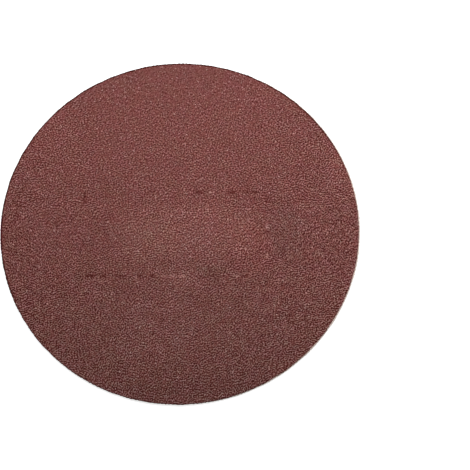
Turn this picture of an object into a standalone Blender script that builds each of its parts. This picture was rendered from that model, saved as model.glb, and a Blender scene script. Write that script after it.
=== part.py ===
"""A hook and loop sanding disc, lying with its abrasive face up.

The disc is a laminate of two sheets that one die cuts to one round outline: a coated
abrasive sheet on top, and under it the knitted loop fabric that grips a hook-faced pad.
Metres, +Z up. The origin is the middle of the underside, and the fabric's rows run along X.
"""

import math

import bmesh
import bpy

# The round outline that the die cuts through both sheets
DISC_DIAMETER = 0.125
OUTLINE_SEGMENTS = 192

# The coated abrasive sheet, whose grain side the die rolls over at the rim
SHEET_THICKNESS = 0.00065
ROLLED_EDGE_RADIUS = 0.00018
ROLLED_EDGE_STEPS = 3

# The loop fabric: a ground cloth with rows of loops standing out below it
GROUND_THICKNESS = 0.00055
ROW_HEIGHT = 0.0004
ROW_PITCH = 0.00167
ROW_CREST_WIDTH = 0.0005
ROW_VALLEY_WIDTH = 0.0002
ROW_FLANK_STEPS = 3

# How far the uncut web and the die reach past each other
CUTTING_MARGIN = 0.002

FABRIC_THICKNESS = ROW_HEIGHT + GROUND_THICKNESS
DISC_THICKNESS = FABRIC_THICKNESS + SHEET_THICKNESS
SHARP_ANGLE = math.radians(40.0)


def clear_scene():
    """Removes every object that the opening scene holds."""
    for found in list(bpy.data.objects):
        bpy.data.objects.remove(found, do_unlink=True)


def make_collection(name):
    """Returns a new collection, linked to the scene."""
    collection = bpy.data.collections.new(name)
    bpy.context.scene.collection.children.link(collection)
    return collection


def make_material(name, colour, roughness):
    """Returns a plain dielectric material of the given linear colour."""
    material = bpy.data.materials.new(name)
    material.use_nodes = True
    shader = material.node_tree.nodes["Principled BSDF"]
    shader.inputs["Base Color"].default_value = (*colour, 1.0)
    shader.inputs["Roughness"].default_value = roughness
    shader.inputs["Metallic"].default_value = 0.0
    return material


def add_object(name, shape, collection, material=None):
    """Turns a bmesh into an object with smooth round faces and sharp edges."""
    mesh = bpy.data.meshes.new(name)
    shape.to_mesh(mesh)
    shape.free()
    mesh.shade_smooth()
    mesh.set_sharp_from_angle(angle=SHARP_ANGLE)
    if material is not None:
        mesh.materials.append(material)
    made = bpy.data.objects.new(name, mesh)
    collection.objects.link(made)
    return made


def round_blank(low, high):
    """Returns the disc's round outline as a closed slab between two heights."""
    blank = bmesh.new()
    bmesh.ops.create_cone(
        blank,
        cap_ends=True,
        segments=OUTLINE_SEGMENTS,
        radius1=DISC_DIAMETER / 2,
        radius2=DISC_DIAMETER / 2,
        depth=high - low,
    )
    for vertex in blank.verts:
        vertex.co.z = high if vertex.co.z > 0 else low
    return blank


def mark_rim(blank, height):
    """Gives the round edge at this height a full bevel weight."""
    weight = blank.edges.layers.float.new("bevel_weight_edge")
    for edge in blank.edges:
        at_height = all(abs(vertex.co.z - height) < 1e-6 for vertex in edge.verts)
        edge[weight] = 1.0 if at_height else 0.0


def build_abrasive_sheet(collection, material):
    """The coated sheet: a thin round slab with its upper rim rolled over."""
    blank = round_blank(FABRIC_THICKNESS, DISC_THICKNESS)
    mark_rim(blank, DISC_THICKNESS)
    sheet = add_object("abrasive_sheet", blank, collection, material)
    rolled = sheet.modifiers.new("rolled_rim", "BEVEL")
    rolled.limit_method = "WEIGHT"
    rolled.width = ROLLED_EDGE_RADIUS
    rolled.segments = ROLLED_EDGE_STEPS
    return sheet


def row_section(middle):
    """Returns the (y, z) points below one row of loops, from valley to valley.

    A row is a flat crest between two quarter-round flanks, which meet the narrow
    valleys on either side of it.
    """
    crest = ROW_CREST_WIDTH / 2
    flank = (ROW_PITCH - ROW_CREST_WIDTH - ROW_VALLEY_WIDTH) / 2
    side = []
    for step in range(ROW_FLANK_STEPS + 1):
        turn = math.pi / 2 * step / ROW_FLANK_STEPS
        side.append((crest + flank * math.sin(turn), ROW_HEIGHT * (1 - math.cos(turn))))
    left = [(middle - across, height) for across, height in reversed(side)]
    right = [(middle + across, height) for across, height in side]
    return left + right


def knitted_web():
    """Returns the uncut fabric: one section with every row, drawn out along X."""
    reach = DISC_DIAMETER / 2 + CUTTING_MARGIN
    rows_each_way = math.ceil(reach / ROW_PITCH)
    section = []
    for row in range(-rows_each_way, rows_each_way + 1):
        section += row_section(row * ROW_PITCH)
    top = FABRIC_THICKNESS + CUTTING_MARGIN
    section += [(section[-1][0], top), (section[0][0], top)]
    web = bmesh.new()
    outline = [web.verts.new((-reach, across, height)) for across, height in section]
    end = web.faces.new(outline)
    drawn = bmesh.ops.extrude_face_region(web, geom=[end])
    far_end = [item for item in drawn["geom"] if isinstance(item, bmesh.types.BMVert)]
    bmesh.ops.translate(web, verts=far_end, vec=(2 * reach, 0, 0))
    bmesh.ops.recalc_face_normals(web, faces=web.faces)
    return web


def build_loop_backing(collection, cutters, material):
    """The loop fabric: the knitted web, cut to the round outline by the die."""
    backing = add_object("loop_backing", knitted_web(), collection, material)
    die = add_object("round_die", round_blank(-CUTTING_MARGIN, FABRIC_THICKNESS), cutters)
    die.hide_render = True
    die.display_type = "WIRE"
    cut = backing.modifiers.new("die_cut", "BOOLEAN")
    cut.operation = "INTERSECT"
    cut.object = die
    return backing


def main():
    """Builds the disc's two sheets, face to face."""
    clear_scene()
    parts = make_collection("sanding_disc")
    cutters = make_collection("cutters")
    grain = make_material("abrasive_grain", (0.180, 0.070, 0.062), 0.85)
    loops = make_material("loop_fabric", (0.740, 0.620, 0.555), 0.95)
    build_abrasive_sheet(parts, grain)
    build_loop_backing(parts, cutters, loops)


main()
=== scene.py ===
"""Dresses a hook and loop sanding disc that lies with its abrasive face up.

The coated sheet becomes a bed of broken grain in reddish-brown resin, and the backing a
cream loop fabric whose rows, loops and cut fibres are modelled. Lengths are in metres.
"""

import logging
import math
from dataclasses import dataclass
from enum import Enum
from typing import ClassVar

import bpy
import numpy as np
from mathutils import Matrix, Vector


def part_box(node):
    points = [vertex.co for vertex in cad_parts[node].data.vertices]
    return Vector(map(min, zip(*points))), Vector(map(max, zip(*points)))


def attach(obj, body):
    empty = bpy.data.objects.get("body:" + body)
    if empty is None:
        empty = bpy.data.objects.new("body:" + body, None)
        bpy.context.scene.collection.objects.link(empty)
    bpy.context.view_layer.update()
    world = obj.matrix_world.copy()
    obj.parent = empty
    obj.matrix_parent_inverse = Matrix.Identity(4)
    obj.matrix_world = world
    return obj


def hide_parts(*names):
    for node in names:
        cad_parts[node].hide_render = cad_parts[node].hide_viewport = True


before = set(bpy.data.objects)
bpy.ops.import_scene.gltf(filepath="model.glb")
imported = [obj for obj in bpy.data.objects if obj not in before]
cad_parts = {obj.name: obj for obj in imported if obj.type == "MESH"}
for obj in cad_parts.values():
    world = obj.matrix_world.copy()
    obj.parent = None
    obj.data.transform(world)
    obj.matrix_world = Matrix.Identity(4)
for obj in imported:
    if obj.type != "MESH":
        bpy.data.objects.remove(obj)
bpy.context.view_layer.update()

MM = 0.001
BODY = "root"
BAKE_MAP = "OFBake"
TONE = "grain_tone"
WHITE = (1.0, 1.0, 1.0, 1.0)

# The mean width of a grain of coarse grit 36, and the distance between the fabric's rows
GRAIN_WIDTH = 0.538 * MM
ROW_PITCH = 1.67 * MM

# Waves round a cut rim, and how widely their number varies: slow creep, and chips of a grain each.
# Waves as few as this would shift or stretch the whole rim, so they are left out
RIM_WAVES = ((40.0, 60.0), (300.0, 140.0))
TOO_FEW_WAVES = 2

Pair = tuple[float, float]
Triple = tuple[float, float, float]
Socket = bpy.types.NodeSocket

log = logging.getLogger("sanding_disc")


class Facing(Enum):
    """Which way a layer's worked face points."""

    UP = "up"
    DOWN = "down"


class Layer(Enum):
    """The record's material slots."""

    GRAIN = "abrasive_grain"
    FABRIC = "loop_fabric"


@dataclass(frozen=True)
class DiscSize:
    """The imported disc's own sizes: its radius and the heights of its layers."""

    radius: float
    underside: float
    bond: float
    face: float

    @classmethod
    def from_frame(cls) -> "DiscSize":
        """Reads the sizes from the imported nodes.

        Returns:
            The disc's sizes.
        """
        sheet_low, sheet_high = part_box("abrasive_sheet")
        fabric_low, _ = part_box("loop_backing")
        return cls(
            radius=(sheet_high[0] - sheet_low[0]) / 2,
            underside=fabric_low[2],
            bond=sheet_low[2],
            face=sheet_high[2],
        )


class Wiring:
    """Adds nodes to a node tree and joins their sockets."""

    def __init__(self, tree: bpy.types.NodeTree) -> None:
        """Keeps the shader or geometry tree to build in."""
        self.tree = tree

    def feed(self, socket: Socket, value: object) -> None:
        """Links a socket to another one, or sets its own value.

        Args:
            socket: the input to feed.
            value: an output socket, or a plain value.
        """
        if isinstance(value, Socket):
            self.tree.links.new(value, socket)
        else:
            socket.default_value = value

    def add(self, kind: str, inputs: dict | None = None, settings: dict | None = None) -> bpy.types.Node:
        """Adds one node.

        Args:
            kind: the node's type name.
            inputs: its inputs by name or position, each a value or an output socket.
            settings: its properties by name.

        Returns:
            The new node.
        """
        node = self.tree.nodes.new(kind)
        for name, value in (settings or {}).items():
            setattr(node, name, value)
        for key, value in (inputs or {}).items():
            self.feed(node.inputs[key], value)
        return node

    def result(
        self, kind: str, inputs: dict | None = None, settings: dict | None = None, output: int | str = 0
    ) -> Socket:
        """Adds one node as add does, and returns one of its outputs, by name or position."""
        return self.add(kind, inputs, settings).outputs[output]

    def math(self, operation: str, first: object, second: object = 0.0) -> Socket:
        """Returns the result of one operation on one or two numbers."""
        return self.result("ShaderNodeMath", {0: first, 1: second}, {"operation": operation})

    def vector(self, operation: str, first: object, second: object) -> Socket:
        """Returns the result of one operation on two vectors."""
        return self.result("ShaderNodeVectorMath", {0: first, 1: second}, {"operation": operation})

    def length(self, vector: Socket) -> Socket:
        """Returns a vector's length."""
        return self.result("ShaderNodeVectorMath", {0: vector}, {"operation": "LENGTH"}, "Value")

    def smooth_step(self, value: Socket, step: Pair) -> Socket:
        """Returns 0 at the step's start and 1 at its end, with a smooth change between."""
        inputs = {"Value": value, "From Min": step[0], "From Max": step[1]}
        return self.result("ShaderNodeMapRange", inputs, {"interpolation_type": "SMOOTHSTEP"})

    def between(self, value: Socket, ends: Pair) -> Socket:
        """Returns the first end where the value is 0 and the second where it is 1."""
        return self.result("ShaderNodeMapRange", {"Value": value, "To Min": ends[0], "To Max": ends[1]})

    def mix_colour(self, share: object, first: object, second: object, blend: str = "MIX") -> Socket:
        """Returns the first colour with so large a share of the second blended in."""
        settings = {"data_type": "RGBA", "blend_type": blend}
        return self.result("ShaderNodeMix", {0: share, 6: first, 7: second}, settings, 2)

    def noise(self, where: Socket, size: float, detail: float = 2.0) -> Socket:
        """Returns noise whose lumps have the size, with so many finer octaves."""
        return self.result("ShaderNodeTexNoise", {"Vector": where, "Scale": 1 / size, "Detail": detail})

    def seen_directly(self) -> Socket:
        """Tells what is seen from what only lights.

        Returns:
            A socket that is 1 for rays from the camera, off gloss or through glass, and 0 for light.
        """
        path = self.add("ShaderNodeLightPath").outputs
        glossy = self.math("MAXIMUM", path["Is Camera Ray"], path["Is Glossy Ray"])
        return self.math("MAXIMUM", glossy, path["Is Transmission Ray"])


def rgba(colour: Triple) -> tuple[float, float, float, float]:
    """Adds an alpha of 1 to a linear colour."""
    return (*colour, 1.0)


@dataclass(frozen=True)
class Texture:
    """What a fine noise does to a surface besides its colour."""

    size: float
    roughness: Pair
    bump: float
    bump_depth: float
    detail: float = 3.0


class Surface(Wiring):
    """A material in the making, with its shader and its object coordinates."""

    def __init__(self, name: str) -> None:
        """Starts a material.

        Args:
            name: the material's name.
        """
        self.material = bpy.data.materials.new(name)
        self.material.use_nodes = True
        super().__init__(self.material.node_tree)
        self.shader = self.tree.nodes["Principled BSDF"]
        self.where = self.result("ShaderNodeTexCoord", output="Object")

    def set(self, inputs: dict[str, object]) -> None:
        """Feeds some of the shader's inputs, each a value or an output socket."""
        for name, value in inputs.items():
            self.feed(self.shader.inputs[name], value)

    def roughen(self, texture: Texture) -> Socket:
        """Gives the surface its uneven roughness and its bump.

        Args:
            texture: the noise, and how far it reaches.

        Returns:
            The noise's output socket.
        """
        fine = self.noise(self.where, texture.size, texture.detail)
        inputs = {"Strength": texture.bump, "Distance": texture.bump_depth, "Height": fine}
        bump = self.result("ShaderNodeBump", inputs)
        self.set({"Roughness": self.between(fine, texture.roughness), "Normal": bump})
        return fine


@dataclass(frozen=True)
class Mark:
    """A short stretch of the face that lost its grain (darker) or was scraped pale."""

    centre: Pair
    reach: Pair
    lift: float

    def share(self, places: np.ndarray) -> np.ndarray:
        """Returns how strongly the mark acts at each row of x and y, from 0 to 1."""
        away = (places - self.centre) / self.reach
        return np.exp(-(away**4).sum(axis=1))


@dataclass(frozen=True)
class ImprintEdge:
    """One edge of the imprint: where along it, in millimetres, its marks are."""

    level: float
    upright: bool
    pits: tuple[float, ...] = ()
    faint_pits: tuple[float, ...] = ()
    scrapes: tuple[float, ...] = ()


@dataclass(frozen=True)
class Imprint:
    """The broken outline of a rectangle that was pressed into the face.

    Its marks are pits and faint pits, where the face is darker, and scrapes, where it is
    paler. The lifts are how far each of the three shifts the tone.
    """

    edges: tuple[ImprintEdge, ...] = (
        ImprintEdge(
            level=-17.8,
            upright=False,
            pits=(-30.6, -26.0, -22.2, -13.3, -9.2, 22.4),
            faint_pits=(-19.8, 8.2, 11.0, 14.2),
            scrapes=(-5.2, -2.6, 1.2, 20.3),
        ),
        ImprintEdge(
            level=12.9,
            upright=False,
            pits=(6.6, 18.2, 26.0),
            faint_pits=(-9.8, 23.6),
            scrapes=(10.8,),
        ),
        ImprintEdge(level=-33.6, upright=True, pits=(11.8, 9.8), faint_pits=(-6.6,)),
        ImprintEdge(level=30.4, upright=True, faint_pits=(10.0, -1.9, -7.3), scrapes=(0.4, -10.6)),
    )
    lifts: Triple = (-0.25, -0.13, 0.24)
    half_width: float = 0.50 * MM
    half_lengths: Pair = (0.7 * MM, 1.5 * MM)
    strengths: Pair = (0.75, 1.1)
    seed: int = 5

    def marks(self) -> list[Mark]:
        """Places every mark on the rectangle's edges, each of its own length and strength.

        Returns:
            The marks.
        """
        rng = np.random.default_rng(self.seed)
        made = []
        for edge in self.edges:
            for stops, lift in zip((edge.pits, edge.faint_pits, edge.scrapes), self.lifts):
                for stop in stops:
                    centre = (stop * MM, edge.level * MM)
                    reach = (rng.uniform(*self.half_lengths), self.half_width)
                    if edge.upright:
                        centre, reach = centre[::-1], reach[::-1]
                    made.append(Mark(centre, reach, lift * rng.uniform(*self.strengths)))
        return made


@dataclass(frozen=True)
class SoftPatch:
    """A soft-edged oval on the face, in millimetres, whose colour differs a little from the rest."""

    centre: Pair
    reach: Pair
    tint: Triple
    fade: ClassVar[Pair] = (1.15, 0.45)

    def lay(self, surface: Surface, colour: Socket) -> Socket:
        """Multiplies a colour by the patch's tint, fading out towards its edge.

        Args:
            surface: the material.
            colour: the colour below the patch.

        Returns:
            The colour's output socket.
        """
        shift = (self.centre[0] * MM, self.centre[1] * MM, 0.0)
        scale = (1 / (self.reach[0] * MM), 1 / (self.reach[1] * MM), 0.0)
        away = surface.vector("MULTIPLY", surface.vector("SUBTRACT", surface.where, shift), scale)
        share = surface.smooth_step(surface.length(away), self.fade)
        return surface.mix_colour(share, colour, rgba(self.tint), "MULTIPLY")


# The used face's uneven colour: first the rectangle that was pressed pale and its ends, then its
# darkened corners and the smudges under its near edge, and last the haze and the rim's stretches,
# of which the two darker ones along the near rim are painted shade and the paler one at the right is
# painted light
FACE_PATCHES_AND_LIGHT = (
    SoftPatch((3.5, -1.0), (30.0, 13.0), (1.16, 1.21, 1.205)),
    SoftPatch((-10.5, -3.0), (11.0, 11.0), (1.0, 1.065, 1.03)),
    SoftPatch((25.0, -8.0), (9.0, 12.0), (1.07, 1.015, 1.005)),
    SoftPatch((-28.0, -3.0), (5.0, 13.0), (0.965, 0.95, 0.955)),
    SoftPatch((37.0, -1.0), (7.0, 12.0), (0.925, 1.005, 0.995)),
    SoftPatch((-28.0, 15.0), (9.0, 5.0), (0.945, 0.975, 0.95)),
    SoftPatch((-32.0, -16.0), (6.0, 4.0), (0.93, 0.92, 0.91)),
    SoftPatch((3.0, -19.0), (8.0, 6.0), (1.085, 1.10, 1.105)),
    SoftPatch((10.0, -16.0), (7.0, 3.0), (0.945, 1.045, 1.025)),
    SoftPatch((-8.0, -37.0), (20.0, 13.0), (1.06, 1.075, 1.10)),
    SoftPatch((0.0, -52.0), (75.0, 52.0), (0.952, 1.027, 1.011)),
    # Painted shade: these two darken stretches of the near rim, where the light falls off.
    SoftPatch((8.0, -61.0), (46.0, 9.0), (0.915, 0.925, 0.935)),
    SoftPatch((27.0, -54.0), (9.0, 7.0), (0.935, 0.935, 0.96)),
    SoftPatch((-6.0, 58.0), (46.0, 8.0), (0.97, 0.98, 1.0)),
    # Painted light: this brightens the right rim, on the side the light comes from.
    SoftPatch((59.0, 28.0), (9.0, 18.0), (1.125, 1.14, 1.14)),
    SoftPatch((-48.0, 38.0), (12.0, 12.0), (1.06, 1.02, 1.05)),
)


@dataclass(frozen=True)
class Mottle:
    """Two faint tints that wander into each other over the whole face."""

    size: float
    first: Triple
    second: Triple
    step: ClassVar[Pair] = (0.35, 0.65)

    def lay(self, surface: Surface, colour: Socket) -> Socket:
        """Multiplies a colour by the tints.

        Args:
            surface: the material.
            colour: the colour below them.

        Returns:
            The colour's output socket.
        """
        share = surface.smooth_step(surface.noise(surface.where, self.size), self.step)
        tint = surface.mix_colour(share, rgba(self.first), rgba(self.second))
        return surface.mix_colour(1.0, colour, tint, "MULTIPLY")


@dataclass(frozen=True)
class GrainFinish:
    """Reddish-brown abrasive grain held in darker resin."""

    tones: tuple[tuple[float, Triple], ...] = (
        (0.0, (0.028, 0.0012, 0.0010)),
        (0.36, (0.081, 0.0144, 0.0115)),
        (0.63, (0.2165, 0.0750, 0.0667)),
        (0.90, (0.459, 0.2580, 0.2370)),
        # The last stop is a painted glint, the pale flash of lit crystal facets; only the crystals reach
        # it.
        (1.0, (0.743, 0.4820, 0.4430)),
    )
    mottles: tuple[Mottle, ...] = (
        Mottle(2.4 * MM, (1.036, 0.980, 1.010), (0.964, 1.020, 0.990)),
        Mottle(3.6 * MM, (1.005, 1.01, 0.97), (0.995, 0.99, 1.03)),
    )
    facets: Texture = Texture(size=0.16 * MM, roughness=(0.55, 0.92), bump=0.5, bump_depth=0.05 * MM)
    specular: float = 0.05

    def material(self) -> bpy.types.Material:
        """Builds the finish.

        Returns:
            The material.
        """
        surface = Surface("abrasive_grain")
        surface.roughen(self.facets)
        surface.set({"Base Color": self.colour(surface), "Specular IOR Level": self.specular})
        return surface.material

    def colour(self, surface: Surface) -> Socket:
        """Colours each grain from dark resin to pale mineral, with a painted glint at the top, then adds
        the mottles and patches, some of them painted light and shade.

        Args:
            surface: the material.

        Returns:
            The colour's output socket.
        """
        tone = surface.result("ShaderNodeAttribute", settings={"attribute_name": TONE}, output="Fac")
        ramp = surface.add("ShaderNodeValToRGB", {0: tone})
        stops = ramp.color_ramp.elements
        while len(stops) < len(self.tones):
            stops.new(1.0)
        for stop, (position, shade) in zip(stops, self.tones):
            stop.position = position
            stop.color = rgba(shade)
        colour = ramp.outputs[0]
        for layer in (*self.mottles, *FACE_PATCHES_AND_LIGHT):
            colour = layer.lay(surface, colour)
        return colour


@dataclass(frozen=True)
class FabricFinish:
    """Cream nylon fibres, in broad pale and darker clouds."""

    name: str
    fibres: Texture
    cream: Triple
    shade: Triple
    cloud_size: float = 9.0 * MM
    cloud_share: float = 0.35
    tone_step: Pair = (0.38, 0.66)
    specular: float = 0.25
    sheen: float = 0.25
    sheen_roughness: float = 0.5

    def material(self) -> bpy.types.Material:
        """Builds the finish.

        Returns:
            The material.
        """
        surface = Surface(self.name)
        fine = surface.math("MULTIPLY", surface.roughen(self.fibres), 1 - self.cloud_share)
        broad = surface.noise(surface.where, self.cloud_size, self.fibres.detail)
        share = surface.math("ADD", surface.math("MULTIPLY", broad, self.cloud_share), fine)
        tone = surface.smooth_step(share, self.tone_step)
        surface.set({
            "Base Color": surface.mix_colour(tone, rgba(self.shade), rgba(self.cream)),
            "Specular IOR Level": self.specular,
            "Sheen Weight": self.sheen,
            "Sheen Roughness": self.sheen_roughness,
        })
        return surface.material


GROUND_CLOTH = FabricFinish(
    name="ground_cloth",
    fibres=Texture(size=0.22 * MM, roughness=(0.75, 0.95), bump=0.5, bump_depth=0.06 * MM),
    cream=(0.74, 0.62, 0.555),
    shade=(0.60, 0.49, 0.43),
)
LOOP_NYLON = FabricFinish(
    name="loop_nylon",
    fibres=Texture(size=0.15 * MM, roughness=(0.75, 0.95), bump=0.25, bump_depth=0.06 * MM),
    cream=(0.80, 0.67, 0.60),
    shade=(0.62, 0.50, 0.44),
)


def turns(count: int) -> np.ndarray:
    """Returns equal steps round a circle, in radians from X."""
    return 2 * np.pi * np.arange(count) / count


def outwards(turn: np.ndarray) -> np.ndarray:
    """Returns rows of x and y, one unit from the middle at each angle."""
    return np.stack([np.cos(turn), np.sin(turn)], axis=1)


@dataclass(frozen=True)
class RingLattice:
    """A round field of near-equal triangles: a middle point and rings of 6, 12, 18 ... points."""

    radius: float
    rings: int

    @property
    def spacing(self) -> float:
        """The distance between neighbouring points."""
        return self.radius / self.rings

    @property
    def count(self) -> int:
        """How many points there are."""
        return self.first_of(self.rings + 1)

    @property
    def rim_start(self) -> int:
        """The index of the outermost ring's first point."""
        return self.first_of(self.rings)

    @property
    def rim_turns(self) -> np.ndarray:
        """The angle of each of the outermost ring's points."""
        return turns(6 * self.rings)

    @staticmethod
    def first_of(ring: int) -> int:
        """The index of a ring's first point."""
        return 1 + 3 * ring * (ring - 1) if ring else 0

    def points(self) -> np.ndarray:
        """Returns the points as rows of x and y, from the middle out."""
        rings = [self.spacing * ring * outwards(turns(6 * ring)) for ring in range(1, self.rings + 1)]
        return np.concatenate([np.zeros((1, 2)), *rings])

    def triangles(self) -> np.ndarray:
        """Joins the points.

        Returns:
            The triangles as rows of three indices, anticlockwise from above.
        """
        made = []
        for ring in range(1, self.rings + 1):
            outer, inner = self.first_of(ring), self.first_of(ring - 1)
            inner_count = max(6 * (ring - 1), 1)
            for sector in range(6):
                step = np.arange(ring)
                near = outer + (sector * ring + step) % (6 * ring)
                far = outer + (sector * ring + step + 1) % (6 * ring)
                within = inner + (sector * (ring - 1) + step) % inner_count
                made.append(np.stack([near, far, within], axis=1))
                made.append(np.stack([within[:-1], far[:-1], within[1:]], axis=1))
        return np.concatenate(made)

    def neighbours(self) -> np.ndarray:
        """Finds the pairs of neighbouring points.

        Returns:
            Rows of two indices, each pair both ways round.
        """
        corners = self.triangles()
        pairs = np.concatenate([corners[:, [0, 1]], corners[:, [1, 2]], corners[:, [2, 0]]])
        return np.concatenate([pairs, pairs[:, ::-1]])

    def peaks(self, rng: np.random.Generator) -> np.ndarray:
        """Picks points at random so that no two are neighbours and no more fit.

        Args:
            rng: the source of the random order.

        Returns:
            A flag for each point.
        """
        pairs = self.neighbours()
        pairs = pairs[np.argsort(pairs[:, 0], kind="stable")]
        starts = np.searchsorted(pairs[:, 0], np.arange(self.count + 1))
        picked = np.zeros(self.count, bool)
        barred = np.zeros(self.count, bool)
        for point in rng.permutation(self.count):
            if not barred[point]:
                picked[point] = True
                barred[pairs[starts[point]:starts[point + 1], 1]] = True
        return picked

    def disturbed(self, rng: np.random.Generator, jitter: float, wander: np.ndarray) -> np.ndarray:
        """Moves the inner points at random, and those of the rim in or out.

        Args:
            rng: the source of the random moves.
            jitter: how far a point may move each way, in spacings.
            wander: how far each of the rim's points moves outwards.

        Returns:
            The points as rows of x and y.
        """
        places = self.points()
        inner = self.rim_start
        places[:inner] += rng.uniform(-jitter, jitter, (inner, 2)) * self.spacing
        places[inner:] *= 1 + wander[:, None] / self.radius
        return places


def rim_wander(count: int, depths: Pair, seed: int) -> np.ndarray:
    """Draws a closed, uneven line: how far a cut rim strays from its circle.

    Args:
        count: how many points the rim has.
        depths: the standard deviation of its slow creep and that of its chips.
        seed: the random seed.

    Returns:
        The distance outwards for each point.
    """
    total = np.zeros(count)
    waves = np.fft.rfftfreq(count, 1 / count)
    for step, (depth, (middle, width)) in enumerate(zip(depths, RIM_WAVES)):
        rng = np.random.default_rng(seed + step)
        shape = np.exp(-((waves - middle) / width) ** 2) * (waves > TOO_FEW_WAVES)
        line = np.fft.irfft(shape * np.exp(2j * np.pi * rng.random(len(waves))), count)
        total += line * depth / line.std()
    return total


@dataclass(frozen=True)
class Drift:
    """A number that changes smoothly over the disc: its middle, slopes and bends along X and Y."""

    middle: float
    slopes: Pair
    bends: Pair

    def at(self, places: np.ndarray) -> np.ndarray:
        """Returns the number at each row of x and y, given in radii of the disc."""
        return self.middle + places @ self.slopes + places**2 @ self.bends


@dataclass(frozen=True)
class Speckle:
    """How the grains' tones differ from one to the next.

    The fineness says how many times the neighbours' mean is taken off a point's own number,
    so that neighbours tend to differ. Neighbours that lie in one direction count for more.
    The lifts are the spread of the numbers at each whole fineness, from 0 up.
    """

    fineness: Drift = Drift(1.5, slopes=(0.0, -1.1), bends=(0.5, 0.0))
    lifts: tuple[float, ...] = (0.65, 1.0, 1.32)
    # The lean is painted shade: it gives the speckle the streaks that light from the far side draws across
    # the grain's relief.
    lean: float = 0.34
    shade_lean_towards: float = math.radians(102.0)

    def numbers(self, lattice: RingLattice, drawn: np.ndarray) -> np.ndarray:
        """Makes the speckle from random numbers.

        Args:
            lattice: the points.
            drawn: a random number for each point.

        Returns:
            One number for each point.
        """
        points = lattice.points()
        start, end = lattice.neighbours().T
        away = points[end] - points[start]
        weight = 1 + self.lean * np.cos(2 * (np.arctan2(away[:, 1], away[:, 0]) - self.shade_lean_towards))
        weights = np.bincount(start, weight)
        fineness = np.clip(self.fineness.at(points / lattice.radius), 0, len(self.lifts) - 1)
        made = np.zeros(len(drawn))
        for step, lift in enumerate(self.lifts):
            if step:
                drawn = drawn - np.bincount(start, weight * drawn[end]) / weights
                drawn = (drawn - drawn.mean()) / drawn.std()
            made += lift * drawn * np.clip(1 - np.abs(fineness - step), 0, 1)
        return made


def show(made: bpy.types.Object) -> bpy.types.Object:
    """Links an object to the scene and returns it."""
    bpy.context.scene.collection.objects.link(made)
    return made


@dataclass(frozen=True)
class LayerShape:
    """A closed round layer: a worked face, a wall round its rim and a plain back.

    Its bake map holds the face and the wall as one disc, and the back as a small one beside it.
    Each spot is a disc's middle, the same along both sides of the map, and its radius. A ring
    of the wall is at least one least_step wide there.
    """

    lattice: RingLattice
    facing: Facing
    places: np.ndarray
    heights: np.ndarray
    wall: tuple[Pair, ...]
    wander: np.ndarray
    face_spot: ClassVar[Pair] = (0.455, 0.45)
    back_spot: ClassVar[Pair] = (0.93, 0.06)
    least_step: ClassVar[float] = 0.1 * MM

    def vertices(self) -> np.ndarray:
        """Places every point of the layer.

        Returns:
            The face's points, then each wall ring's, then the back's middle.
        """
        rows = [np.column_stack([self.places, self.heights])]
        out = outwards(self.lattice.rim_turns)
        for reach, height in self.wall:
            ring = out * (reach + self.wander)[:, None]
            rows.append(np.column_stack([ring, np.full(len(ring), height)]))
        rows.append(np.array([[0.0, 0.0, self.wall[-1][1]]]))
        return np.concatenate(rows)

    def triangles(self) -> np.ndarray:
        """Joins the points.

        Returns:
            Rows of three indices: the face's, the wall's and last the back's, one for each rim point.
        """
        count = len(self.wander)
        step = np.arange(count)
        after = (step + 1) % count
        made = [self.lattice.triangles()]
        start = self.lattice.rim_start
        for _ in self.wall:
            beyond = start + count
            made.append(np.stack([start + step, beyond + step, beyond + after], axis=1))
            made.append(np.stack([start + step, beyond + after, start + after], axis=1))
            start = beyond
        middle = np.full(count, start + count)
        made.append(np.stack([middle, start + after, start + step], axis=1))
        corners = np.concatenate(made)
        return corners if self.facing is Facing.UP else corners[:, ::-1]

    def bake_places(self, corners: np.ndarray) -> np.ndarray:
        """Lays the layer out flat.

        Args:
            corners: every triangle.

        Returns:
            A place on the unit square for each corner.
        """
        flat = self.vertices()[:, :2].copy()
        out = outwards(self.lattice.rim_turns)
        count = len(out)
        start = self.lattice.rim_start
        reach = self.lattice.radius
        level = self.heights[start:].mean()
        for _, height in self.wall:
            reach += max(abs(height - level), self.least_step)
            level = height
            start += count
            flat[start:start + count] = out * reach
        middle, half = self.face_spot
        places = middle + half * flat[corners.ravel()] / reach
        middle, half = self.back_spot
        around = middle + half * np.concatenate([out, np.zeros((1, 2))])
        places[-3 * count:] = around[corners[-count:].ravel() - start]
        return places

    def build(
        self, name: str, tone: np.ndarray | None = None, wall_tone: np.ndarray | None = None
    ) -> bpy.types.Object:
        """Makes the layer's object.

        Args:
            name: the piece's name.
            tone: a tone from 0 to 1 for each point of the worked face.
            wall_tone: a tone for each point round the wall.

        Returns:
            The new object, linked to the scene.
        """
        corners = self.triangles()
        points = self.vertices()
        mesh = bpy.data.meshes.new(name)
        mesh.vertices.add(len(points))
        mesh.vertices.foreach_set("co", points.ravel())
        mesh.loops.add(corners.size)
        mesh.loops.foreach_set("vertex_index", corners.ravel().astype(np.int32))
        mesh.polygons.add(len(corners))
        mesh.polygons.foreach_set("loop_start", np.arange(0, corners.size, 3, dtype=np.int32))
        mesh.update(calc_edges=True)
        mesh.uv_layers.new(name=BAKE_MAP).uv.foreach_set("vector", self.bake_places(corners).ravel())
        if tone is not None:
            tones = np.concatenate([tone, *[wall_tone] * len(self.wall), [0.0]]).astype(np.float32)
            mesh.attributes.new(TONE, "FLOAT", "POINT").data.foreach_set("value", tones)
        mesh.validate()
        return show(bpy.data.objects.new(name, mesh))


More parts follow.
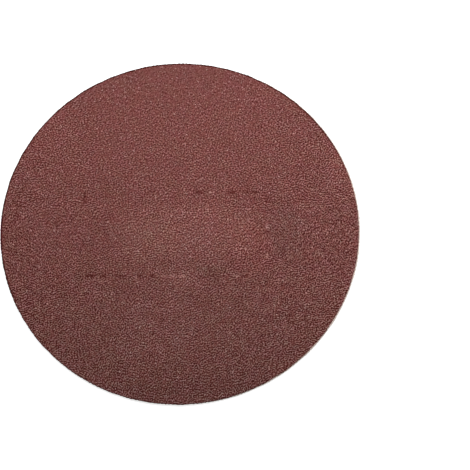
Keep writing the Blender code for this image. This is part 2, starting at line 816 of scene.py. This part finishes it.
class PatternTree(Wiring):
    """A Geometry Nodes tree whose sizes are named inputs."""

    # The middle of a pattern's bake map, and how far its outline reaches from there
    spot: ClassVar[Pair] = (0.5, 0.48)

    def __init__(self, name: str) -> None:
        """Starts a tree.

        Args:
            name: the tree's name.
        """
        super().__init__(bpy.data.node_groups.new(name, "GeometryNodeTree"))
        self.values: dict[str, object] = {}
        self.tree.interface.new_socket("Geometry", in_out="OUTPUT", socket_type="NodeSocketGeometry")
        self.start = self.tree.nodes.new("NodeGroupInput")

    def size(self, name: str, value: object, kind: str = "NodeSocketFloat") -> Socket:
        """Adds a named input.

        Args:
            name: the input's name.
            value: the value that the modifier will hold.
            kind: the socket's type.

        Returns:
            The socket to link from.
        """
        socket = self.tree.interface.new_socket(name, in_out="INPUT", socket_type=kind)
        self.values[socket.identifier] = value
        return self.start.outputs[name]

    def random(self, low: float, high: float, seed: object) -> Socket:
        """Returns a random number for each element."""
        inputs = {2: low, 3: high, "Seed": seed}
        return self.result("FunctionNodeRandomValue", inputs, {"data_type": "FLOAT"}, 1)

    def random_vector(self, low: Vector, high: Vector, seed: object) -> Socket:
        """Returns a random vector for each element."""
        inputs = {0: low, 1: high, "Seed": seed}
        return self.result("FunctionNodeRandomValue", inputs, {"data_type": "FLOAT_VECTOR"})

    def moved(self, geometry: Socket, shift: object) -> Socket:
        """Returns the geometry with each of its points shifted."""
        return self.result("GeometryNodeSetPosition", {"Geometry": geometry, "Offset": shift})

    def strand(self, path: Socket, width: Socket) -> Socket:
        """Sweeps a thin three-sided strand along a curve.

        Args:
            path: the curve.
            width: the strand's width.

        Returns:
            The strand's mesh.
        """
        half = self.math("MULTIPLY", width, 0.5)
        section = self.result("GeometryNodeCurvePrimitiveCircle", {"Resolution": 3, "Radius": half})
        inputs = {"Curve": path, "Profile Curve": section, "Fill Caps": True}
        return self.result("GeometryNodeCurveToMesh", inputs)

    def set_at(self, points: Socket, instance: Socket, turn: Socket, scale: Socket) -> Socket:
        """Returns a copy of one shape at each point, turned and scaled."""
        inputs = {"Points": points, "Instance": instance, "Rotation": turn, "Scale": scale}
        return self.result("GeometryNodeInstanceOnPoints", inputs)

    def build(self, name: str, geometry: Socket, finish: bpy.types.Material) -> bpy.types.Object:
        """Realises the instances, gives them the finish and makes a plain mesh object of them.

        Args:
            name: the piece's name.
            geometry: the tree's result before that.
            finish: the piece's material.

        Returns:
            The new object, with no modifier.
        """
        coat = self.size("Finish", finish, "NodeSocketMaterial")
        real = self.result("GeometryNodeRealizeInstances", {0: geometry})
        dressed = self.result("GeometryNodeSetMaterial", {"Geometry": real, "Material": coat})
        self.add("NodeGroupOutput", {0: dressed})
        host = show(bpy.data.objects.new(name + "_pattern", bpy.data.meshes.new(name + "_pattern")))
        pattern = host.modifiers.new("pattern", "NODES")
        pattern.node_group = self.tree
        for identifier, value in self.values.items():
            pattern[identifier] = value
        settled = host.evaluated_get(bpy.context.evaluated_depsgraph_get())
        mesh = bpy.data.meshes.new_from_object(settled)
        bpy.data.objects.remove(host)
        mesh.name = name
        self.lay_flat_map(mesh)
        return show(bpy.data.objects.new(name, mesh))

    def lay_flat_map(self, mesh: bpy.types.Mesh) -> None:
        """Gives a mesh the map that its colours are stored on: its own outline from above.

        Args:
            mesh: the mesh to lay out.
        """
        places = np.empty(3 * len(mesh.vertices), np.float32)
        mesh.vertices.foreach_get("co", places)
        corners = np.empty(len(mesh.loops), np.int32)
        mesh.loops.foreach_get("vertex_index", corners)
        flat = places.reshape(-1, 3)[corners, :2]
        middle, half = self.spot
        flat = middle + half * flat / np.abs(flat).max()
        mesh.uv_layers.new(name=BAKE_MAP).uv.foreach_set("vector", flat.ravel())


@dataclass
class Piece:
    """One physical piece or pattern of the disc, with its name, layer and maker."""

    disc: DiscSize
    finish: bpy.types.Material
    name: ClassVar[str]
    layer: ClassVar[Layer]

    def build(self) -> bpy.types.Object:
        """Makes the piece's object with its finish."""
        raise NotImplementedError

    def place(self) -> None:
        """Builds the piece, ties it to the disc's body, and logs it."""
        made = self.build()
        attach(made, BODY)
        log.info("%s: %d faces", made.name, len(made.data.polygons))


@dataclass
class CoatedSheet(Piece):
    """The coated abrasive: broken grain standing in resin on a thin paper.

    A point's rise and its tone go from 0 to 1. Where the tones spread more, their middle drops.
    Towards the cut rim the grain is smoother, and on one side, towards the far left, the rim is darkened as
    painted shade.
    """

    name: ClassVar[str] = "coated_sheet"
    layer: ClassVar[Layer] = Layer.GRAIN
    points_per_grain: float = 1.53
    inset: float = 0.02 * MM
    jitter: float = 0.22
    relief: float = 0.22 * MM
    peak_rises: Pair = (0.5, 1.0)
    valley_rises: Pair = (0.0, 0.4)
    # The sheet's tones stop short of the ramp's painted glint.
    middle_tone: float = 0.53
    middle_drop: float = 0.16
    palest: float = 0.90
    # The spread is partly the grain's own tones and partly painted shade: its growth towards the near side
    # stands in for the stronger relief shading where the light grazes the grain.
    tone_and_shade_spread: Drift = Drift(0.295, slopes=(0.0177, -0.0826), bends=(0.1121, -0.0826))
    speckle: Speckle = Speckle()
    imprint: Imprint = Imprint()
    pit_depth: float = 0.6
    rolled_edge: float = 0.24 * MM
    smooth_rim: float = 1.6 * MM
    rim_relief: float = 0.45
    # These darken the rim's far-left stretch, face and wall: painted shade of the cut edge on the side away
    # from the lamp.
    painted_shade_width: float = 0.62 * MM
    painted_shade_towards: float = math.radians(115.0)
    painted_shade_middle: float = 0.6
    painted_shade_swing: float = 3.0
    painted_shade_depth: float = 0.8
    # The wall's tone where it is not darkened: partly the cut edge's own pale bits, partly painted light
    # that keeps the shaded wall as bright as the face.
    pale_and_lit_wall_tone: float = 0.85
    lip: float = 0.10 * MM
    strays: Pair = (0.045 * MM, 0.045 * MM)
    seed: int = 11

    def build(self) -> bpy.types.Object:
        """Makes the sheet as one closed mesh.

        Returns:
            The sheet's object.
        """
        rng = np.random.default_rng(self.seed)
        radius = self.disc.radius - self.inset
        lattice = RingLattice(radius, round(self.points_per_grain * radius / GRAIN_WIDTH))
        rise, tone = self.grain(lattice, rng)
        rise, tone = self.worn_and_shaded(lattice, rise, tone)
        turn = lattice.rim_turns
        wander = rim_wander(len(turn), self.strays, self.seed)
        places = lattice.disturbed(rng, self.jitter, wander)
        rolling = (radius - 2 * lattice.spacing, radius)
        rolled = np.interp(np.linalg.norm(places, axis=1), rolling, (0.0, 1.0)) ** 2
        heights = self.disc.face - self.relief * (1 - rise) - self.rolled_edge * rolled
        wall = (
            (self.disc.radius, heights[lattice.rim_start:].min() - self.lip),
            (self.disc.radius, self.disc.bond - self.lip),
            (self.disc.radius - 3 * self.lip, self.disc.bond),
        )
        shape = LayerShape(lattice, Facing.UP, places, heights, wall, wander)
        # The wall's tone is painted light on the near side and painted shade on the far-left side.
        made = shape.build(self.name, tone, self.pale_and_lit_wall_tone * (1 - self.painted_rim_shade(turn)))
        made.data.materials.append(self.finish)
        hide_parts("abrasive_sheet")
        return made

    def grain(self, lattice: RingLattice, rng: np.random.Generator) -> tuple[np.ndarray, np.ndarray]:
        """Draws the unworn grain: peaks that stand apart, with valleys between them.

        Args:
            lattice: the face's points.
            rng: the source of the random draws.

        Returns:
            How high each point rises and its tone, both from 0 to 1.
        """
        peaks = lattice.peaks(rng)
        count = lattice.count
        rise = np.where(peaks, rng.uniform(*self.peak_rises, count), rng.uniform(*self.valley_rises, count))
        spread = self.tone_and_shade_spread.at(lattice.points() / lattice.radius)
        middle = self.middle_tone - self.middle_drop * (spread - self.tone_and_shade_spread.middle)
        speckle = self.speckle.numbers(lattice, rng.normal(0, 1, count))
        return rise, np.clip(middle + spread * speckle, 0.0, self.palest)

    def worn_and_shaded(
        self, lattice: RingLattice, rise: np.ndarray, tone: np.ndarray
    ) -> tuple[np.ndarray, np.ndarray]:
        """Presses the imprint into the face, darkens one side of its rim with painted shade, and smooths
        the rim.

        Args:
            lattice: the face's points.
            rise: how high each point rises.
            tone: each point's tone.

        Returns:
            The worn rises and tones.
        """
        places = lattice.points()
        for mark in self.imprint.marks():
            share = mark.share(places)
            tone = np.clip(tone + mark.lift * share, 0.0, self.palest)
            rise = rise * (1 - self.pit_depth * share * (mark.lift < 0))
        inside = lattice.radius - np.linalg.norm(places, axis=1)
        # Painted shade: the face darkens towards the rim on its far-left side.
        painted_darkening = self.painted_rim_shade(np.arctan2(places[:, 1], places[:, 0]))
        painted_darkening *= np.interp(inside, (self.painted_shade_width / 3, self.painted_shade_width), (1.0, 0.0))
        relief = np.interp(inside, (0.0, self.smooth_rim), (self.rim_relief, 1.0))
        return 1 - (1 - rise) * relief, tone * (1 - self.painted_shade_depth * painted_darkening)

    def painted_rim_shade(self, turn: np.ndarray) -> np.ndarray:
        """Returns how strongly the rim is darkened with painted shade, from 0 to 1, at each angle."""
        return np.clip(self.painted_shade_swing * np.cos(turn - self.painted_shade_towards) + self.painted_shade_middle, 0, 1)


@dataclass
class GrainCrystals(Piece):
    """Longer broken grains that stand out between the others, each at its own angle.

    Their depths are below the face, and their proportions in grain widths.
    """

    name: ClassVar[str] = "grain_crystals"
    layer: ClassVar[Layer] = Layer.GRAIN
    spacing: float = 1.35 * MM
    density: float = 2.5e6
    field_sides: int = 192
    rim_gap: float = 0.45 * MM
    depths: Pair = (0.25 * MM, 0.17 * MM)
    proportions: Triple = (0.50, 0.28, 0.26)
    dent: float = 0.22
    tilt: float = 0.5
    scales: Pair = (0.75, 1.1)
    # Tones above 0.9 take the ramp's painted glint.
    tones: Pair = (0.3, 1.0)
    seed: int = 61

    def build(self) -> bpy.types.Object:
        """Scatters one crystal at each point of an even random spread.

        Returns:
            The crystals' object.
        """
        pattern = PatternTree("crystal_spread")
        radius = pattern.size("Spread Radius", self.disc.radius - self.rim_gap)
        apart = pattern.size("Least Distance", self.spacing)
        seed = pattern.size("Seed", self.seed, "NodeSocketInt")
        inputs = {"Vertices": self.field_sides, "Radius": radius}
        field = pattern.result("GeometryNodeMeshCircle", inputs, {"fill_type": "NGON"})
        inputs = {"Mesh": field, "Distance Min": apart, "Density Max": self.density, "Seed": seed}
        settings = {"distribute_method": "POISSON"}
        points = pattern.result("GeometryNodeDistributePointsOnFaces", inputs, settings)
        low, high = (Vector((0.0, 0.0, self.disc.face - depth)) for depth in self.depths)
        raised = pattern.moved(points, pattern.random_vector(low, high, seed))
        least, most = Vector((-self.tilt, -self.tilt, 0.0)), Vector((self.tilt, self.tilt, 2 * math.pi))
        turn = pattern.random_vector(least, most, seed)
        scale = pattern.random(*self.scales, seed)
        placed = pattern.set_at(raised, self.one_crystal(pattern), turn, scale)
        inputs = {"Geometry": placed, "Name": TONE, "Value": pattern.random(*self.tones, self.seed + 1)}
        settings = {"data_type": "FLOAT", "domain": "INSTANCE"}
        toned = pattern.result("GeometryNodeStoreNamedAttribute", inputs, settings)
        return pattern.build(self.name, toned, self.finish)

    def one_crystal(self, pattern: PatternTree) -> Socket:
        """Adds the nodes of a single crystal: a small uneven solid, longer than it is wide.

        Args:
            pattern: the tree to add them to.

        Returns:
            The crystal's mesh.
        """
        size = pattern.size("Crystal Size", Vector(self.proportions) * GRAIN_WIDTH, "NodeSocketVector")
        ball = pattern.result("GeometryNodeMeshIcoSphere", {"Radius": 1.0, "Subdivisions": 1})
        dent = Vector((self.dent,) * 3)
        uneven = pattern.moved(ball, pattern.random_vector(-dent, dent, self.seed + 2))
        return pattern.result("GeometryNodeTransform", {"Geometry": uneven, "Scale": size})


@dataclass
class LoopCloth(Piece):
    """The ground cloth of the loop fabric, with the low ribs that its rows stand on.

    Each of its wall's rings is given by how far it lies beyond the disc's radius and above its bond.
    The rows run along X, and the fabric has crept out at the ends that point that way.
    """

    name: ClassVar[str] = "loop_cloth"
    layer: ClassVar[Layer] = Layer.FABRIC
    rings: int = 168
    inset: float = 0.12 * MM
    jitter: float = 0.2
    rough: float = 0.035 * MM
    row_relief: float = 0.16 * MM
    row_level: float = 0.42 * MM
    crept: float = 0.42 * MM
    tucked: float = -0.14 * MM
    creep_power: float = 0.7
    strays: Pair = (0.04 * MM, 0.05 * MM)
    wall: tuple[Pair, ...] = (
        (-0.02 * MM, -0.30 * MM),
        (0.0, -0.05 * MM),
        (-0.04 * MM, 0.14 * MM),
        (-0.35 * MM, 0.20 * MM),
        (-0.60 * MM, 0.0),
    )
    seed: int = 23

    def build(self) -> bpy.types.Object:
        """Makes the cloth as one closed mesh with its ribs below.

        Returns:
            The cloth's object.
        """
        rng = np.random.default_rng(self.seed)
        lattice = RingLattice(self.disc.radius - self.inset, self.rings)
        turn = lattice.rim_turns
        wander = rim_wander(len(turn), self.strays, self.seed) + self.spread(turn)
        places = lattice.disturbed(rng, self.jitter, wander)
        row = 0.5 - 0.5 * np.cos(2 * np.pi * places[:, 1] / ROW_PITCH)
        rough = rng.normal(0, self.rough, lattice.count)
        heights = self.disc.underside + self.row_level + self.row_relief * row + rough
        wall = tuple((self.disc.radius + beyond, self.disc.bond + above) for beyond, above in self.wall)
        made = LayerShape(lattice, Facing.DOWN, places, heights, wall, wander).build(self.name)
        made.data.shade_smooth()
        made.data.materials.append(self.finish)
        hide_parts("loop_backing")
        return made

    def spread(self, turn: np.ndarray) -> np.ndarray:
        """Returns how far the cut fabric stands out past the disc's circle at each angle."""
        share = np.clip(np.cos(turn), 0, 1) ** self.creep_power
        return self.tucked + (self.crept - self.tucked) * share


@dataclass
class LoopPile(Piece):
    """The rows of small round loops that hook-faced pads grip.

    The loops stray by parts of a loop pitch, and lean by radians about each axis.
    """

    name: ClassVar[str] = "loop_pile"
    layer: ClassVar[Layer] = Layer.FABRIC
    rim_gap: float = 0.3 * MM
    loop_pitch: float = 0.98 * MM
    loop_span: float = 0.95 * MM
    loop_height: float = 0.33 * MM
    arch_points: int = 5
    strand_width: float = 0.22 * MM
    root: float = 0.50 * MM
    strays: Pair = (0.22, 0.132)
    leans: Triple = (0.42, 0.1, 0.45)
    scales: Pair = (0.78, 1.0)
    seed: int = 31

    def build(self) -> bpy.types.Object:
        """Sets one arched loop at each stitch of each row.

        Returns:
            The loops' object.
        """
        pattern = PatternTree("loop_rows")
        radius = pattern.size("Pile Radius", self.disc.radius - self.rim_gap)
        seed = pattern.size("Seed", self.seed, "NodeSocketInt")
        inputs = {}
        for axis, name, pitch in (("X", "Loop", self.loop_pitch), ("Y", "Row", ROW_PITCH)):
            step = pattern.size(name + " Pitch", pitch)
            gaps = pattern.size(name + " Gaps", 2 * math.floor(self.disc.radius / pitch), "NodeSocketInt")
            inputs["Size " + axis] = pattern.math("MULTIPLY", step, gaps)
            inputs["Vertices " + axis] = pattern.math("ADD", gaps, 1.0)
        grid = pattern.result("GeometryNodeMeshGrid", inputs)
        points = pattern.result("GeometryNodeMeshToPoints", {"Mesh": grid})
        stray = Vector((*self.strays, 0.0)) * self.loop_pitch
        moved = pattern.moved(points, pattern.random_vector(-stray, stray, seed))
        here = pattern.result("GeometryNodeInputPosition")
        beyond = pattern.math("GREATER_THAN", pattern.length(here), radius)
        inputs = {"Geometry": moved, "Selection": beyond}
        kept = pattern.result("GeometryNodeDeleteGeometry", inputs, {"domain": "POINT"})
        raised = pattern.moved(kept, (0.0, 0.0, self.disc.underside + self.root))
        lean = Vector(self.leans)
        turn = pattern.random_vector(-lean, lean, seed)
        placed = pattern.set_at(raised, self.one_loop(pattern), turn, pattern.random(*self.scales, seed))
        made = pattern.build(self.name, placed, self.finish)
        made.data.shade_smooth()
        return made

    def one_loop(self, pattern: PatternTree) -> Socket:
        """Adds the nodes of a single loop, an arch that hangs down from its two feet.

        Args:
            pattern: the tree to add them to.

        Returns:
            The loop's mesh.
        """
        span = pattern.size("Loop Span", self.loop_span)
        height = pattern.size("Loop Height", self.loop_height)
        width = pattern.size("Strand Width", self.strand_width)
        inputs = {"Resolution": self.arch_points, "Radius": 0.5, "Start Angle": 0.0, "Sweep Angle": math.pi}
        arch = pattern.result("GeometryNodeCurveArc", inputs)
        whole = pattern.math("MULTIPLY", height, 2.0)
        size = pattern.result("ShaderNodeCombineXYZ", {0: span, 1: whole, 2: 1.0})
        sized = pattern.result("GeometryNodeTransform", {"Geometry": arch, "Scale": size})
        inputs = {"Geometry": sized, "Rotation": (-math.pi / 2, 0.0, 0.0)}
        return pattern.strand(pattern.result("GeometryNodeTransform", inputs), width)


@dataclass
class EdgeFibres(Piece):
    """Cut fibre ends that stand out round the fabric's rim, at levels given from its bond."""

    name: ClassVar[str] = "edge_fibres"
    layer: ClassVar[Layer] = Layer.FABRIC
    count: int = 3400
    length: float = 0.48 * MM
    width: float = 0.07 * MM
    bow: Triple = (0.5, 0.12, 0.1)
    levels: Pair = (-0.42 * MM, 0.06 * MM)
    stray: float = 0.08 * MM
    askew: float = 0.7
    tip: float = 0.35
    scales: Pair = (0.45, 1.0)
    least_fray: float = 0.4
    seed: int = 47

    def build(self) -> bpy.types.Object:
        """Sets the fibres on the rim, each turned outwards and a little askew.

        Returns:
            The fibres' object.
        """
        pattern = PatternTree("fibre_ring")
        radius = pattern.size("Rim Radius", self.disc.radius)
        count = pattern.size("Fibres", self.count, "NodeSocketInt")
        seed = pattern.size("Seed", self.seed, "NodeSocketInt")
        ring = pattern.result("GeometryNodeCurvePrimitiveCircle", {"Resolution": count, "Radius": radius})
        points = pattern.result("GeometryNodeCurveToPoints", {"Curve": ring}, {"mode": "EVALUATED"})
        low, high = (self.disc.bond + level for level in self.levels)
        least, most = Vector((-self.stray, -self.stray, low)), Vector((self.stray, self.stray, high))
        moved = pattern.moved(points, pattern.random_vector(least, most, seed))
        here = pattern.add("ShaderNodeSeparateXYZ", {0: pattern.result("GeometryNodeInputPosition")})
        out = pattern.math("ARCTAN2", here.outputs[1], here.outputs[0])
        askew = pattern.math("ADD", out, pattern.random(-self.askew, self.askew, seed))
        tip = pattern.random(-self.tip, self.tip, self.seed + 1)
        turn = pattern.result("ShaderNodeCombineXYZ", {1: tip, 2: askew})
        crept = pattern.math("MAXIMUM", pattern.math("COSINE", out), 0.0)
        fray = pattern.between(crept, (self.least_fray, 1.0))
        scale = pattern.math("MULTIPLY", pattern.random(*self.scales, seed), fray)
        placed = pattern.set_at(moved, self.one_fibre(pattern), turn, scale)
        made = pattern.build(self.name, placed, self.finish)
        made.data.shade_smooth()
        return made

    def one_fibre(self, pattern: PatternTree) -> Socket:
        """Adds the nodes of a single fibre, a short strand with a slight bow.

        Args:
            pattern: the tree to add them to.

        Returns:
            The fibre's mesh.
        """
        length = pattern.size("Fibre Length", self.length)
        width = pattern.size("Fibre Width", self.width)
        inputs = {"Resolution": 3, "Start": (0.0, 0.0, 0.0), "Middle": self.bow, "End": (1.0, 0.0, 0.0)}
        bent = pattern.result("GeometryNodeCurveQuadraticBezier", inputs)
        sized = pattern.result("GeometryNodeTransform", {"Geometry": bent, "Scale": length})
        return pattern.strand(sized, width)


@dataclass(frozen=True)
class Studio:
    """A white table under one wide soft lamp and a faint even surround."""

    table_width: float = 6.0
    table_colour: float = 0.62
    table_roughness: float = 0.9
    table_glow: float = 0.78
    glow_step: Pair = (0.08, 0.20)
    lamp_place: Triple = (0.138, 0.038, 0.24)
    lamp_aim: Triple = (0.133, 0.18, 0.0)
    lamp_width: float = 0.60
    lamp_depth: float = 0.08
    lamp_power: float = 1.28
    surround: float = 0.12

    def build(self) -> None:
        """Makes the table, the lamp and the surround."""
        self.table()
        self.lamp()
        self.world()
        bpy.context.scene.view_settings.view_transform = "Standard"

    def table(self) -> None:
        """Makes a wide white table that keeps the disc's shadow."""
        half = self.table_width / 2
        mesh = bpy.data.meshes.new("table")
        corners = [(-half, -half, 0.0), (half, -half, 0.0), (half, half, 0.0), (-half, half, 0.0)]
        mesh.from_pydata(corners, [], [(0, 1, 2, 3)])
        made = show(bpy.data.objects.new("table", mesh))
        surface = Surface("table_white")
        far = surface.smooth_step(surface.length(surface.where), self.glow_step)
        glow = surface.between(far, (self.table_glow, 1.0))
        surface.set({
            "Base Color": rgba((self.table_colour,) * 3),
            "Roughness": self.table_roughness,
            "Specular IOR Level": 0.0,
            "Emission Color": WHITE,
            "Emission Strength": surface.math("MULTIPLY", glow, surface.seen_directly()),
        })
        mesh.materials.append(surface.material)

    def lamp(self) -> None:
        """Makes the wide soft lamp over the disc, aimed beyond its far side."""
        data = bpy.data.lights.new("soft_lamp", "AREA")
        data.shape = "RECTANGLE"
        data.size = self.lamp_width
        data.size_y = self.lamp_depth
        data.energy = self.lamp_power
        made = show(bpy.data.objects.new("soft_lamp", data))
        made.location = self.lamp_place
        aim = Vector(self.lamp_aim) - Vector(self.lamp_place)
        made.rotation_euler = aim.to_track_quat("-Z", "Y").to_euler()

    def world(self) -> None:
        """Makes an even surround that lights faintly and looks white."""
        world = bpy.data.worlds.new("surround")
        world.use_nodes = True
        bpy.context.scene.world = world
        wiring = Wiring(world.node_tree)
        background = world.node_tree.nodes["Background"]
        background.inputs["Color"].default_value = WHITE
        strength = wiring.between(wiring.seen_directly(), (self.surround, 1.0))
        wiring.feed(background.inputs["Strength"], strength)


@dataclass(frozen=True)
class Viewpoint:
    """The camera, where the photograph was taken from."""

    elevation: float = math.radians(72.19)
    distance: float = 0.4779
    aside: float = 19.29 * MM
    below: float = 2.81 * MM
    lens: float = 105.0
    sensor: float = 36.0

    def build(self, target: Vector) -> None:
        """Makes the camera and gives it to the scene.

        Args:
            target: the middle of the disc's abrasive face.
        """
        back = Vector((0.0, -math.cos(self.elevation), math.sin(self.elevation)))
        right = Vector((1.0, 0.0, 0.0))
        up = back.cross(right)
        data = bpy.data.cameras.new("viewpoint")
        data.lens = self.lens
        data.sensor_width = self.sensor
        made = show(bpy.data.objects.new("viewpoint", data))
        place = target + back * self.distance + right * self.aside - up * self.below
        axes = Matrix((right, up, back)).transposed().to_4x4()
        made.matrix_world = Matrix.Translation(place) @ axes
        bpy.context.scene.camera = made


def main() -> None:
    """Builds the disc's pieces in order, then the studio and the camera."""
    logging.basicConfig(level=logging.INFO, format="%(message)s")
    disc = DiscSize.from_frame()
    grain = GrainFinish().material()
    cloth = GROUND_CLOTH.material()
    nylon = LOOP_NYLON.material()
    pieces = (
        CoatedSheet(disc, grain),
        GrainCrystals(disc, grain),
        LoopCloth(disc, cloth),
        LoopPile(disc, nylon),
        EdgeFibres(disc, nylon),
    )
    for piece in pieces:
        piece.place()
    Studio().build()
    Viewpoint().build(Vector((0.0, 0.0, disc.face)))


if __name__ == "__main__":
    main()
